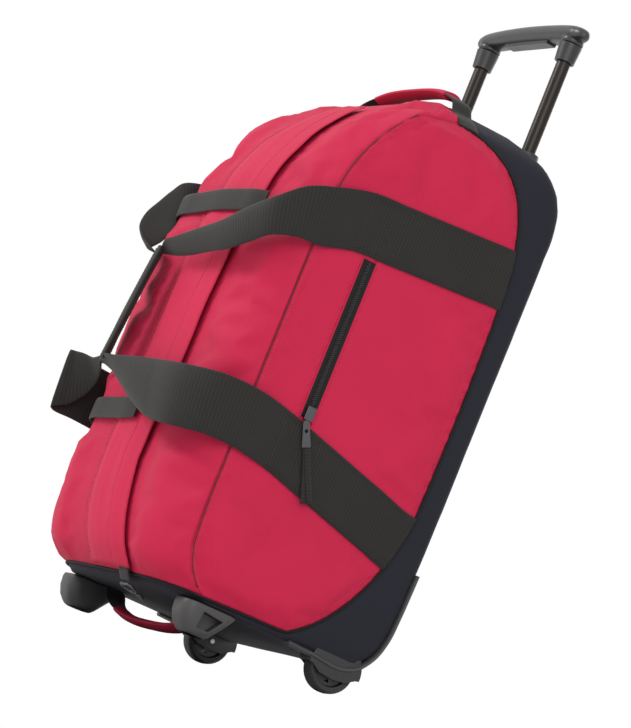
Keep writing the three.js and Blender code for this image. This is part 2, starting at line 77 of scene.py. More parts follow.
def make(name, points, faces, material, uvs=None, smooth=True):
    """A mesh object from points in millimetres. uvs has one pair for each point."""
    placed = np.asarray(points, float) * MM + [0, CENTRE_Y * MM, 0]
    mesh = bpy.data.meshes.new(name)
    mesh.from_pydata(placed.tolist(), [], [list(map(int, face)) for face in faces])
    mesh.validate()
    mesh.update()
    mesh.materials.append(material)
    if smooth:
        mesh.polygons.foreach_set("use_smooth", [True] * len(mesh.polygons))
    if uvs is not None:
        layer = mesh.uv_layers.new(name="UVMap")
        corners = np.zeros(len(mesh.loops), np.int32)
        mesh.loops.foreach_get("vertex_index", corners)
        layer.data.foreach_set("uv", np.asarray(uvs, float)[corners].ravel())
    obj = bpy.data.objects.new(name, mesh)
    bpy.context.scene.collection.objects.link(obj)
    return obj


def grid_faces(rows, columns, wrap=False):
    """Quads over rows x columns points. wrap joins the last column to the first."""
    faces = []
    for r in range(rows - 1):
        for c in range(columns if wrap else columns - 1):
            d = (c + 1) % columns
            faces.append((r * columns + c, r * columns + d, (r + 1) * columns + d, (r + 1) * columns + c))
    return faces


def stack_faces(rows, sides):
    """Faces over a stack of closed rings, with one face over each end."""
    last = (rows - 1) * sides
    ends = [tuple(range(sides))[::-1], tuple(range(last, last + sides))]
    return grid_faces(rows, sides, wrap=True) + ends


def tube_mesh(path, radius, sides=8):
    """Points and faces of a closed tube along a path. radius is one number or one per point."""
    path = np.asarray(path, float)
    radii = np.broadcast_to(radius, (len(path),))
    tangents = np.gradient(path, axis=0)
    tangents /= np.linalg.norm(tangents, axis=1)[:, None]
    side = np.cross(tangents[0], [0.3, 0.5, 0.8])
    points = []
    for place, tangent, r in zip(path, tangents, radii):
        side = side - tangent * (side @ tangent)
        side /= np.linalg.norm(side)
        other = np.cross(tangent, side)
        for k in range(sides):
            angle = 2 * math.pi * k / sides
            points.append(place + r * (math.cos(angle) * side + math.sin(angle) * other))
    return np.array(points), stack_faces(len(path), sides)


def outward(points, faces):
    """The faces of a closed mesh, all turned over if they look inward."""
    volume = sum(np.dot(points[face[0]], np.cross(points[face[k]], points[face[k + 1]]))
                 for face in faces for k in range(1, len(face) - 1))
    return faces if volume > 0 else [face[::-1] for face in faces]


def prism(outline, low, high):
    """A closed solid: an outline in the side view, carried across from low to high."""
    count = len(outline)
    points = np.array([(x, y, z) for x in (low, high) for y, z in outline])
    faces = [tuple(range(count)), tuple(range(2 * count - 1, count - 1, -1))]
    faces += [(k, (k + 1) % count, (k + 1) % count + count, k + count)[::-1] for k in range(count)]
    return points, outward(points, faces)


def joined(pieces):
    """One (points, faces) from several."""
    points, faces, start = [], [], 0
    for piece_points, piece_faces in pieces:
        points.append(piece_points)
        faces.extend(tuple(i + start for i in face) for face in piece_faces)
        start += len(piece_points)
    return np.concatenate(points), faces


def spline(stops, count):
    """count points along a smooth curve through stops, each a row of any length, even by distance."""
    stops = np.asarray(stops, float)
    gaps = np.linalg.norm(np.diff(stops[:, :3], axis=0), axis=1)
    knots = np.concatenate([[0], np.cumsum(gaps)])
    slopes = np.gradient(stops, knots, axis=0)
    where = np.linspace(0, knots[-1], count)
    index = np.clip(np.searchsorted(knots, where, side="right") - 1, 0, len(knots) - 2)
    span = (knots[index + 1] - knots[index])[:, None]
    t = ((where - knots[index]) / span[:, 0])[:, None]
    a, b, da, db = stops[index], stops[index + 1], slopes[index] * span, slopes[index + 1] * span
    first = (2 * t**3 - 3 * t**2 + 1) * a + (t**3 - 2 * t**2 + t) * da
    return first + (3 * t**2 - 2 * t**3) * b + (t**3 - t**2) * db


def wander(points, scale, seed):
    """Smooth noise from -1 to 1 at each point, with features about scale millimetres wide."""
    offset = Vector((seed * 17.3, seed * 5.1, seed * 9.7))
    return np.array([noise.noise(Vector(p) / scale + offset) for p in points])


def smoothstep(low, high, value):
    t = np.clip((np.asarray(value, float) - low) / (high - low), 0, 1)
    return t * t * (3 - 2 * t)


def fade(low, high, value):
    """1 up to low, easing to 0 at high."""
    return 1 - smoothstep(low, high, value)


# ---------------------------------------------------------------- materials

class Nodes:
    """A short way to write a material's nodes."""

    def __init__(self, name):
        self.material = bpy.data.materials.new(name)
        self.material.use_nodes = True
        self.tree = self.material.node_tree
        self.shader = self.tree.nodes["Principled BSDF"]

    def add(self, kind, **inputs):
        node = self.tree.nodes.new(kind)
        for key, value in inputs.items():
            self.put(node.inputs[key], value)
        return node

    def put(self, socket, value):
        if isinstance(value, bpy.types.NodeSocket):
            self.tree.links.new(value, socket)
        else:
            socket.default_value = value

    def math(self, operation, a, b=0.0, c=0.0):
        node = self.tree.nodes.new("ShaderNodeMath")
        node.operation = operation
        for socket, value in zip(node.inputs, (a, b, c)):
            self.put(socket, value)
        return node.outputs[0]

    def noise(self, vector, scale, detail=2.0, rough=0.5):
        node = self.add("ShaderNodeTexNoise", Vector=vector, Scale=scale, Detail=detail, Roughness=rough)
        return node.outputs["Fac"]

    def spread(self, value, low, high):
        """value, which is 0 to 1, mapped to low to high."""
        node = self.tree.nodes.new("ShaderNodeMapRange")
        for key, number in (("Value", value), ("To Min", low), ("To Max", high)):
            self.put(node.inputs[key], number)
        return node.outputs["Result"]

    def mix(self, factor, a, b):
        node = self.tree.nodes.new("ShaderNodeMix")
        node.data_type = "RGBA"
        for key, value in ((0, factor), (6, a), (7, b)):
            self.put(node.inputs[key], value)
        return node.outputs[2]

    def wave(self, value, pitch):
        """A sine of value that runs from 0 to 1 once in each pitch."""
        sine = self.math("SINE", self.math("MULTIPLY", value, 2 * math.pi / pitch))
        return self.math("MULTIPLY_ADD", sine, 0.5, 0.5)

    def bump(self, height, strength, distance, under=None):
        node = self.add("ShaderNodeBump", Height=height, Strength=strength, Distance=distance)
        if under is not None:
            self.put(node.inputs["Normal"], under)
        return node.outputs["Normal"]

    def set(self, **values):
        for key, value in values.items():
            self.put(self.shader.inputs[key.replace("_", " ")], value)


def colour(rgb, share=1.0):
    return (rgb[0] * share, rgb[1] * share, rgb[2] * share, 1.0)


def object_axes(nodes):
    place = nodes.add("ShaderNodeTexCoord").outputs["Object"]
    split = nodes.add("ShaderNodeSeparateXYZ", Vector=place)
    return place, split.outputs["X"], split.outputs["Y"], split.outputs["Z"]


def woven(name, rgb, pitch, sheen, roughness=0.72, contrast=0.12):
    """Plain weave over the whole object: threads along Z and round the bag."""
    n = Nodes(name)
    place, x, y, z = object_axes(n)
    k = 2 * math.pi / pitch
    across = n.math("SINE", n.math("MULTIPLY", n.math("ADD", x, y), k))
    up = n.math("SINE", n.math("MULTIPLY", z, k))
    weave = n.math("MULTIPLY_ADD", n.math("MULTIPLY", across, up), 0.5, 0.5)
    cloudy = n.noise(place, 9.0, 3.0, 0.55)
    slub = n.noise(place, 420.0, 2.0, 0.6)
    shade = n.math("ADD", n.math("MULTIPLY", cloudy, 0.7), n.math("MULTIPLY", slub, 0.3))
    base = n.mix(shade, colour(rgb, 1 - contrast), colour(rgb, 1 + contrast))
    thread = n.mix(n.math("MULTIPLY", weave, 0.16), base, colour(rgb, 0.55))
    soft = n.bump(cloudy, 0.25, 0.0015)
    fine = n.bump(weave, 0.35, 0.0002, soft)
    n.set(Base_Color=thread, Roughness=n.spread(slub, roughness - 0.08, roughness + 0.1), Normal=fine)
    n.set(Sheen_Weight=sheen, Sheen_Roughness=0.45, Specular_IOR_Level=0.22)
    n.set(Sheen_Tint=colour([min(1, c * 1.3 + 0.1) for c in rgb]))
    return n.material


def ribbed_webbing(name, rgb, rib=0.004, sheen=0.04):
    """Webbing whose UVs are metres along and across: cross ribs, threads and a tight edge."""
    n = Nodes(name)
    places = n.add("ShaderNodeTexCoord").outputs
    split = n.add("ShaderNodeSeparateXYZ", Vector=places["UV"])
    ribs = n.wave(split.outputs["X"], rib)
    threads = n.wave(split.outputs["Y"], 0.0018)
    fuzz = n.noise(places["Object"], 260.0, 3.0, 0.6)
    worn = n.noise(places["Object"], 14.0, 3.0, 0.6)
    shade = n.math("ADD", n.math("MULTIPLY", ribs, 0.55), n.math("MULTIPLY", fuzz, 0.45))
    base = n.mix(shade, colour(rgb, 0.5), colour(rgb, 1.5))
    faded = n.mix(n.spread(worn, -0.25, 0.45), base, colour([c * 1.5 + 0.002 for c in rgb]))
    height = n.math("ADD", n.math("MULTIPLY", threads, 0.5), fuzz)
    n.set(Base_Color=faded, Roughness=n.spread(fuzz, 0.62, 0.86), Normal=n.bump(height, 0.5, 0.0003))
    n.set(Sheen_Weight=sheen, Sheen_Roughness=0.5, Specular_IOR_Level=0.2)
    return n.material


def moulded(name, rgb, roughness, grain=900.0, depth=0.00012):
    """Plastic, rubber or thread, with a fine grain and scuffs."""
    n = Nodes(name)
    place, *_ = object_axes(n)
    fine = n.noise(place, grain, 2.0, 0.5)
    scuffs = n.noise(place, 35.0, 5.0, 0.7)
    base = n.mix(n.spread(scuffs, 0.1, 0.9), colour(rgb, 0.82), colour([c * 1.18 + 0.004 for c in rgb]))
    n.set(Base_Color=base, Roughness=n.spread(scuffs, roughness - 0.08, roughness + 0.12))
    n.set(Normal=n.bump(fine, 0.5, depth))
    return n.material


def metal(name, rgb, roughness, metallic=1.0, brush=(1.0, 1.0, 0.04)):
    """Metal with brushed lines, which run along Z unless brush is even."""
    n = Nodes(name)
    place, *_ = object_axes(n)
    stretched = n.add("ShaderNodeMapping", Vector=place, Scale=brush).outputs["Vector"]
    lines = n.noise(stretched, 1500.0, 2.0, 0.5)
    smudge = n.noise(place, 22.0, 4.0, 0.6)
    base = n.mix(smudge, colour(rgb, 0.85), colour(rgb, 1.12))
    n.set(Base_Color=base, Metallic=metallic, Normal=n.bump(lines, 0.15, 0.0001))
    n.set(Roughness=n.spread(smudge, roughness - 0.05, roughness + 0.12))
    return n.material


RED = (0.42, 0.0085, 0.0455)
red = woven("red_weave", RED, 0.0011, 0.08)
# The flap's cloth is the same red made 4% lighter with a little more sheen: a painted highlight for the
# flap's lit look.
flap_red_painted_highlight = woven("flap_weave_painted_highlight", tuple(c * 1.04 for c in RED), 0.0011, 0.1)
charcoal = woven("charcoal_weave", (0.010, 0.0105, 0.017), 0.0014, 0.06, 0.78, 0.2)
webbing = ribbed_webbing("black_ribbed_webbing", (0.0125, 0.0118, 0.0105), sheen=0.07)
binding = ribbed_webbing("edge_binding", (0.006, 0.0055, 0.006), 0.002, 0.02)
red_thread = moulded("red_thread", (0.42, 0.016, 0.045), 0.6, 2500.0, 0.0001)
# A near-black red for a thin line along each side seam: painted shade of the seam's crease.
painted_seam_shade = moulded("painted_seam_shade_red", (0.075, 0.003, 0.009), 0.8, 2500.0, 0.0001)
back_thread = moulded("grey_thread", (0.03, 0.03, 0.036), 0.6, 2500.0, 0.0001)
dark_thread = moulded("dark_thread", (0.012, 0.012, 0.012), 0.6, 2500.0, 0.0001)
zip_coil = moulded("zip_coil", (0.018, 0.018, 0.019), 0.38, 1600.0, 0.00006)
grey_plastic = moulded("grey_moulded_plastic", (0.03, 0.0295, 0.029), 0.46)
dark_plastic = moulded("dark_moulded_plastic", (0.009, 0.009, 0.0095), 0.4)
grip_plastic = moulded("grip_soft_plastic", (0.016, 0.0155, 0.017), 0.34, 700.0, 0.0001)
rubber = moulded("tyre_rubber_matt", (0.009, 0.0085, 0.0085), 0.6, 500.0, 0.0002)
board = moulded("stiff_board_sheet", (0.25, 0.2, 0.15), 0.8)
tube_metal = metal("satin_dark_tube", (0.02, 0.016, 0.013), 0.3, 0.7)
gunmetal = metal("gunmetal_plate", (0.085, 0.085, 0.09), 0.34, 0.9, (1.0, 1.0, 1.0))
steel = metal("plain_steel", (0.42, 0.42, 0.43), 0.3)


# ---------------------------------------------------------------- the body's surface

def level(z, column):
    """A column of LEVELS at height z, eased across its corners."""
    z = np.clip(np.asarray(z, float), LOW, HIGH)
    reach = np.clip(np.minimum(z - LOW, HIGH - z), 0, 16)
    parts = [np.interp(z + k * reach, LEVELS[:, 0], LEVELS[:, column]) for k in (-1, -0.5, 0, 0.5, 1)]
    return sum(parts) / len(parts)


def front_at(x, z):
    seam = level(z, SEAM)
    across = np.clip(np.abs(x) / level(z, HALF_WIDTH), 0, 1)
    return seam + (level(z, FRONT) - seam) * (1 - across**5)


def body_ring(z, count):
    """count points round the body at height z, from the middle of the back, even by distance."""
    w, back, seam = level(z, HALF_WIDTH), level(z, BACK), level(z, SEAM)
    corner = 11
    turn = np.linspace(math.pi / 2, 0, 7)
    arc = np.stack([w - corner + corner * np.cos(turn), back - corner + corner * np.sin(turn)], 1)
    across = np.sin(np.linspace(math.pi / 2, 0, 60)) * w
    face = np.stack([across, front_at(across, z)], 1)
    half = np.concatenate([[[0, back]], arc, [[w, seam]], face[1:]])
    far = np.concatenate([[0], np.cumsum(np.linalg.norm(np.diff(half, axis=0), axis=1))])
    where = np.linspace(0, far[-1], count // 2 + 1)
    right = np.stack([np.interp(where, far, half[:, 0]), np.interp(where, far, half[:, 1])], 1)
    left = right[-2:0:-1] * [-1, 1]
    ring = np.concatenate([right, left])
    return np.column_stack([ring, np.full(len(ring), z)])


def curve_2d(start, control, end, count=14):
    t = np.linspace(0, 1, count)[1:, None]
    start, control, end = (np.asarray(p, float) for p in (start, control, end))
    return (1 - t)**2 * start + 2 * t * (1 - t) * control + t**2 * end


TRAY_EDGE = np.concatenate([
    [[-150, 41], [16, 43]],
    curve_2d((16, 43), (95, 98), (111, 216)),
    curve_2d((111, 216), (116, 345), (111, 473)),
    curve_2d((111, 473), (110, 640), (-6, 652)),
    [[12, 710]],
])
TRAY_AREA = np.concatenate([TRAY_EDGE, [[230, 710], [230, 0], [-240, 0], [-240, 41]]])
SEAM_HEIGHTS = np.arange(38, 624, 8)
SEAM_EDGE = np.concatenate([
    np.stack([level(SEAM_HEIGHTS, SEAM), SEAM_HEIGHTS], 1), [[-64, 638], [-4, 653], [20, 657]],
])
SEAM_AREA = np.concatenate([[[-86, 0]], SEAM_EDGE, [[20, 740], [-280, 740], [-280, 0]]])


def edge_distance(points, area, edge):
    """Distance to edge in the side view, positive for points that are inside area."""
    p = points[:, 1:3]
    nearest = np.full(len(p), 1e9)
    for a, b in zip(edge[:-1], edge[1:]):
        t = np.clip(((p - a) @ (b - a)) / ((b - a) @ (b - a)), 0, 1)[:, None]
        nearest = np.minimum(nearest, np.linalg.norm(p - a - t * (b - a), axis=1))
    inside = np.zeros(len(p), bool)
    for a, b in zip(area, np.roll(area, -1, axis=0)):
        crosses = (a[1] > p[:, 1]) != (b[1] > p[:, 1])
        with np.errstate(divide="ignore", invalid="ignore"):
            x = (b[0] - a[0]) * (p[:, 1] - a[1]) / (b[1] - a[1]) + a[0]
        inside ^= crosses & (p[:, 0] < x)
    return np.where(inside, nearest, -nearest)


STRAPS = {"upper": (494, 509), "lower": (235, 184)}


def strap_middle(name, y):
    front, back = STRAPS[name]
    return front + (back - front) * (np.clip(y, -93, 106) + 93) / 199


def lies_under(points):
    """1 where straps, zips or the flap lie on the fabric, easing to 0 beyond them."""
    x, y, z = points.T
    side = smoothstep(150, 176, np.abs(x))
    covered = np.zeros(len(points))
    for name in STRAPS:
        away = np.abs(z - strap_middle(name, y))
        covered = np.maximum(covered, side * fade(36, 62, away) * (y > -150))
    zip_near = fade(62, 96, np.abs(y + 34)) * smoothstep(140, 170, z)
    zip_near = zip_near * fade(472, 488, z) * (x > 150)
    front = fade(8, 30, y - front_at(x, z))
    flap = front * smoothstep(-112, -40, x) * fade(84, 118, x)
    bands = front * np.maximum(fade(18, 40, np.abs(z - 477)), fade(22, 44, np.abs(z - 218)))
    return np.maximum.reduce([covered, zip_near, flap, bands])


def body_points(pitch):
    """The closed body at rest: points and faces, with rings about pitch apart."""
    count = int(1330 / pitch / 2) * 2
    heights = np.linspace(LOW, HIGH, int((HIGH - LOW) / pitch) + 1)
    rings = [body_ring(z, count) for z in heights]
    for ends, step in ((rings[0], -1), (rings[-1], 1)):
        middle = ends.mean(0)
        steps = int(np.abs(ends[:, 1] - middle[1]).max() / pitch)
        for k in range(1, steps):
            share = 1 - k / steps
            ring = middle + (ends - middle) * [share, share, 1]
            if step > 0:
                ring[:, 2] += 3 * (1 - share**2)
                rings.append(ring)
            else:
                rings.insert(0, ring)
    return np.concatenate(rings), [face[::-1] for face in stack_faces(len(rings), count)]


def cloth_settle(points, faces, held, growth, pressure, frames):
    """The points after a cloth simulation: fabric longer than its frame buckles between held points."""
    obj = make("settling", points, faces, red)
    group = obj.vertex_groups.new(name="held")
    for index, weight in enumerate(held):
        if weight > 0.02:
            group.add([index], float(weight), "REPLACE")
    cloth = obj.modifiers.new("Cloth", "CLOTH")
    settings = cloth.settings
    settings.quality = 6
    settings.mass = 0.25
    settings.tension_stiffness = 20
    settings.compression_stiffness = 20
    settings.shear_stiffness = 6
    settings.bending_stiffness = 3.5
    settings.air_damping = 2
    settings.use_pressure = True
    settings.uniform_pressure_force = pressure
    settings.vertex_group_mass = "held"
    settings.pin_stiffness = 1
    settings.shrink_min = -growth
    settings.effector_weights.gravity = 0
    cloth.collision_settings.use_collision = False
    scene = bpy.context.scene
    cloth.point_cache.frame_start = 1
    cloth.point_cache.frame_end = frames
    for number in range(1, frames + 1):
        scene.frame_set(number)
    shown = obj.evaluated_get(bpy.context.evaluated_depsgraph_get()).data
    settled = np.zeros(len(shown.vertices) * 3)
    shown.vertices.foreach_get("co", settled)
    scene.frame_set(1)
    bpy.data.objects.remove(obj)
    return (settled.reshape(-1, 3) - [0, CENTRE_Y * MM, 0]) / MM


def surface_normals(points, faces):
    mesh = bpy.data.meshes.new("normals")
    mesh.from_pydata(np.asarray(points).tolist(), [], [tuple(map(int, face)) for face in faces])
    mesh.update()
    normals = np.zeros(len(mesh.vertices) * 3)
    mesh.vertex_normals.foreach_get("vector", normals)
    bpy.data.meshes.remove(mesh)
    return normals.reshape(-1, 3)


def carve(rows, faces, value):
    """Splits the faces along the line where value is 0. rows holds each point's numbers, which
    are shared out where an edge is split. Points close to the line move onto it."""
    value = value.copy()
    rows = rows.copy()
    crossing = set()
    for face in faces:
        for a, b in zip(face, face[1:] + face[:1]):
            if value[a] * value[b] < 0:
                crossing.add((min(a, b), max(a, b)))
    for a, b in sorted(crossing):
        if value[a] * value[b] >= 0:
            continue
        t = value[a] / (value[a] - value[b])
        for near, share, i, j in ((t < 0.2, t, a, b), (t > 0.8, 1 - t, b, a)):
            if near:
                rows[i] = rows[i] * (1 - share) + rows[j] * share
                value[i] = 0
    made, added, result = {}, [], []

    def split(a, b):
        key = (min(a, b), max(a, b))
        if key not in made:
            t = value[key[0]] / (value[key[0]] - value[key[1]])
            made[key] = len(rows) + len(added)
            added.append(rows[key[0]] * (1 - t) + rows[key[1]] * t)
        return made[key]

    for face in faces:
        signs = [value[i] for i in face]
        if min(signs) >= 0 or max(signs) <= 0:
            result.append(face)
            continue
        above, below = [], []
        for a, b in zip(face, face[1:] + face[:1]):
            if value[a] >= 0:
                above.append(a)
            if value[a] <= 0:
                below.append(a)
            if value[a] * value[b] < 0:
                middle = split(a, b)
                above.append(middle)
                below.append(middle)
        result.extend(tuple(part) for part in (above, below) if len(part) > 2)
    if added:
        rows = np.concatenate([rows, np.array(added)])
    return rows, result


def soften_edges(obj, width):
    soften = obj.modifiers.new("Soften", "BEVEL")
    soften.width = width * MM
    soften.segments = 3
    soften.limit_method = "ANGLE"
    soften.angle_limit = math.radians(32)


def cut_away(obj, pieces, soften=0):
    """Cuts closed pieces out of obj for good, then softens its edges by that many millimetres."""
    tool = make("tool", *joined(pieces), obj.data.materials[0])
    cut = obj.modifiers.new("Cut", "BOOLEAN")
    cut.object = tool
    cut.solver = "EXACT"
    if soften:
        soften_edges(obj, soften)
    evaluated = bpy.data.meshes.new_from_object(obj.evaluated_get(bpy.context.evaluated_depsgraph_get()))
    obj.modifiers.clear()
    obj.data = evaluated
    bpy.data.objects.remove(tool)


def slack_body(rest, faces, normals, tray, seam):
    """The fabric's points, slack between the seams and buckled where it is longer than its frame."""
    x, y, z = rest.T
    under = lies_under(rest)
    # Slack panels bulge between the seams. Straps, zips and the stiff tray hold theirs down.
    free = (1 - under) * smoothstep(4, 34, np.abs(seam)) * smoothstep(2, 30, np.abs(tray))
    free = np.where(tray > 0, free * 0.12, free)
    creases = wander(rest * [1, 1, 0.45], 60, 3) * 3.2 + wander(rest * [0.6, 0.6, 1.3], 34, 5) * 1.6
    slanted = rest @ np.array([[0.9, 0, 0.44], [0, 1, 0], [-0.44, 0, 0.9]]) * [0.35, 0.8, 1]
    creases += np.where(seam > 0, wander(slanted, 30, 8) * 3.4, 0)
    slack = free * (2.5 + creases)
    # The empty top corner on the far side caves in, and the panel beside the flap sinks a little.
    cave = np.exp(-(((x + 150) / 66)**2 + ((z - 546) / 40)**2)) * smoothstep(40, -60, y)
    dip = np.exp(-(((x - 128) / 26)**2 + ((z - 395) / 60)**2)) * smoothstep(-110, -140, y)
    slack = slack - 16 * cave - 3.5 * dip
    start = rest + normals * slack[:, None]
    held = np.clip(1.15 - np.minimum(np.abs(seam), np.abs(tray)) / 9, 0, 1)
    held = np.where(tray > 2, 1, held)
    held = np.maximum(held, 0.9 * under)
    settled = cloth_settle(start, faces, held, 0.035, 1.2, 16)
    moved = settled - start
    size = np.linalg.norm(moved, axis=1)
    moved *= (np.minimum(size, 11) / np.maximum(size, 1e-6))[:, None] * (1 - held)[:, None]**0.5
    start = start + moved
    out = ((start - rest) * normals).sum(1)
    most = 0.3 + 7.5 * (1 - under) * np.where(tray > 0, 0.2, 1) - 12 * cave
    start -= normals * np.maximum(out - most, 0)[:, None]
    return start


REST_X, IN_TRAY, IN_FRONT = 6, 7, 8


def build_body():
    """Four fabric panels, parted and drawn in at the seams. Gives the surface that pieces are laid on."""
    pitch = 7.0
    rest, faces = body_points(pitch)
    tray = edge_distance(rest, TRAY_AREA, TRAY_EDGE)
    seam = edge_distance(rest, SEAM_AREA, SEAM_EDGE)
    normals = surface_normals(rest, faces)
    start = slack_body(rest, faces, normals, tray, seam)

    # Each point's numbers: its place, its normal at rest, its x at rest, and its distance inside each edge.
    rows = np.column_stack([start, normals, rest[:, 0], tray, seam])
    for column in (IN_TRAY, IN_FRONT):
        for offset in (-9, -3.5, 0, 3.5, 9):
            rows, faces = carve(rows, faces, rows[:, column] - offset)
    in_tray, in_front = rows[:, IN_TRAY], rows[:, IN_FRONT]
    groove = np.minimum(np.abs(in_tray), np.where(in_tray > 0, 1e9, np.abs(in_front)))
    depth = 1.9 * np.exp(-(groove / 4.2)**2)
    shown = rows[:, :3] - rows[:, 3:6] * depth[:, None]

    panels = {"gusset_shell": [], "front_shell": [], "side_shell_near": [], "side_shell_far": []}
    for face in faces:
        corners = rows[list(face)]
        if corners[:, IN_TRAY].mean() > 0:
            panels["gusset_shell"].append(face)
        elif corners[:, IN_FRONT].mean() > 0:
            panels["front_shell"].append(face)
        else:
            panels["side_shell_near" if corners[:, REST_X].mean() > 0 else "side_shell_far"].append(face)
    stands_for = {
        "gusset_shell": ("gusset_tray", charcoal, "charcoal_fabric"),
        "front_shell": ("front_panel", red, "red_fabric"),
        "side_shell_near": ("side_panel_near", red, "red_fabric"),
        "side_shell_far": ("side_panel_far", red, "red_fabric"),
    }
    for name, panel in panels.items():
        node, material, slot = stands_for[name]
        used = sorted({i for face in panel for i in face})
        index = {old: new for new, old in enumerate(used)}
        obj = make(name, shown[used], [[index[i] for i in face] for face in panel], material)
        wall = obj.modifiers.new("Wall", "SOLIDIFY")
        wall.thickness = 2.2 * MM
        wall.offset = -1
        if name == "gusset_shell":
            well = [(56.5, 20), (119.5, 20), (119.5, 66), (56.5, 66)]
            cut_away(obj, [prism(well, side * 151.5, side * 178.3) for side in (1, -1)])
        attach(obj, "bag")
        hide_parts(node)
    return BVHTree.FromPolygons(shown.tolist(), [list(face) for face in faces])


SKIN = build_body()


def on_skin(points, lift):
    """The points moved to the nearest fabric and raised off it, with the fabric's normals."""
    placed, normals = [], []
    for point in points:
        place, normal, *_ = SKIN.find_nearest(Vector(point))
        if normal.dot(Vector(point) - BODY_MIDDLE) < 0:
            normal = -normal
        placed.append(np.array(place + normal * lift))
        normals.append(np.array(normal))
    return np.array(placed), np.array(normals)


def on_fabric(x, y, up):
    """A place just off the fabric at x, y: on top of the bag where up is 1, underneath where it is -1."""
    place, normal, *_ = SKIN.ray_cast(Vector((x, y, BODY_MIDDLE.z + 600 * up)), Vector((0, 0, -up)))
    return np.array(place + normal * 1.5)


def eased(line, passes=10):
    """A line of points with its small wiggles smoothed out."""
    line = np.array(line, float)
    for _ in range(passes):
        line[1:-1] = line[1:-1] * 0.5 + (line[:-2] + line[2:]) * 0.25
    return line


# ---------------------------------------------------------------- stitches and piping

def even(points, pitch):
    """Points every pitch along a line."""
    points = np.asarray(points, float)
    far = np.concatenate([[0], np.cumsum(np.linalg.norm(np.diff(points, axis=0), axis=1))])
    where = np.arange(pitch / 2, far[-1], pitch)
    return np.stack([np.interp(where, far, points[:, k]) for k in range(points.shape[1])], 1)


def stitches(path, pitch=4.2, length=2.9, radius=0.42):
    """Separate stitches along a path, each a short bead that dips at its ends."""
    marks = even(path, pitch)
    if len(marks) < 3:
        return []
    along = np.gradient(marks, axis=0)
    along /= np.linalg.norm(along, axis=1)[:, None]
    made = []
    for place, direction in zip(marks, along):
        steps = np.array([-0.5, -0.3, 0.3, 0.5])[:, None] * length * direction
        made.append(tube_mesh(place + steps, radius * np.array([0.35, 1, 1, 0.35]), 5))
    return made


def sew(name, rows, material, body="bag"):
    obj = make(name, *joined([bead for row in rows for bead in stitches(row)]), material)
    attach(obj, body)


def side_line(edge_points, side):
    """Points in the side view put onto the side of the body."""
    y, z = np.asarray(edge_points, float).T
    return np.stack([side * level(z, HALF_WIDTH), y, z], 1)


# ---------------------------------------------------------------- webbing

def strap_mesh(stops, thickness=2.2, out=1, rib=4.0, relief=0.34, columns=9, roundness=8, step=None):
    """A band with ribs across it, along stops, each a place, half the band's width and how far it crowns.
    Gives points, faces and uvs."""
    stops = np.array([list(place) + list(edge) + [crown] for place, edge, crown in stops], float)
    length = np.linalg.norm(np.diff(stops[:, :3], axis=0), axis=1).sum()
    count = max(8, int(length / (step or rib / 4)))
    path = spline(stops, count)
    middle, edge, crown = path[:, :3], path[:, 3:6], path[:, 6]
    tangent = np.gradient(middle, axis=0)
    face = np.cross(edge, tangent) * out
    face /= np.linalg.norm(face, axis=1)[:, None]
    far = np.concatenate([[0], np.cumsum(np.linalg.norm(np.diff(middle, axis=0), axis=1))])
    a = np.sin(np.linspace(-math.pi / 2, math.pi / 2, columns))
    half = thickness / 2 * (1 - 0.75 * np.abs(a)**roundness)
    points, uvs = [], []
    for i in range(count):
        ribs = relief * (0.5 + 0.5 * math.sin(2 * math.pi * far[i] / rib)) if relief else 0
        arch = crown[i] * (1 - a**2)
        width = np.linalg.norm(edge[i])
        for sign in (1, -1):
            order = a if sign > 0 else a[::-1]
            rise = (half + ribs * (1 - np.abs(a)**6))[::sign] * sign + arch[::sign]
            points.append(middle[i] + np.outer(order, edge[i]) + np.outer(rise, face[i]))
            uvs.append(np.stack([np.full(columns, far[i]), order * width], 1) * MM)
    points, uvs = np.concatenate(points), np.concatenate(uvs)
    faces = grid_faces(count, 2 * columns, wrap=True)
    ring = 2 * columns
    for start, order in ((0, -1), (len(points) - ring, 1)):
        for k in range(columns - 1):
            quad = (start + k, start + k + 1, start + ring - 2 - k, start + ring - 1 - k)
            faces.append(quad[::order])
    return points, outward(points, faces), uvs


def strap(name, stops, material=webbing, slot="black_webbing", **shape):
    points, faces, uvs = strap_mesh(stops, **shape)
    obj = make(name, points, faces, material, uvs)
    return obj


def bands(name, pieces, material):
    """One object from several strap meshes."""
    points, faces = joined([piece[:2] for piece in pieces])
    return make(name, points, faces, material, np.concatenate([piece[2] for piece in pieces]))


FULL = (0, 0, 35)
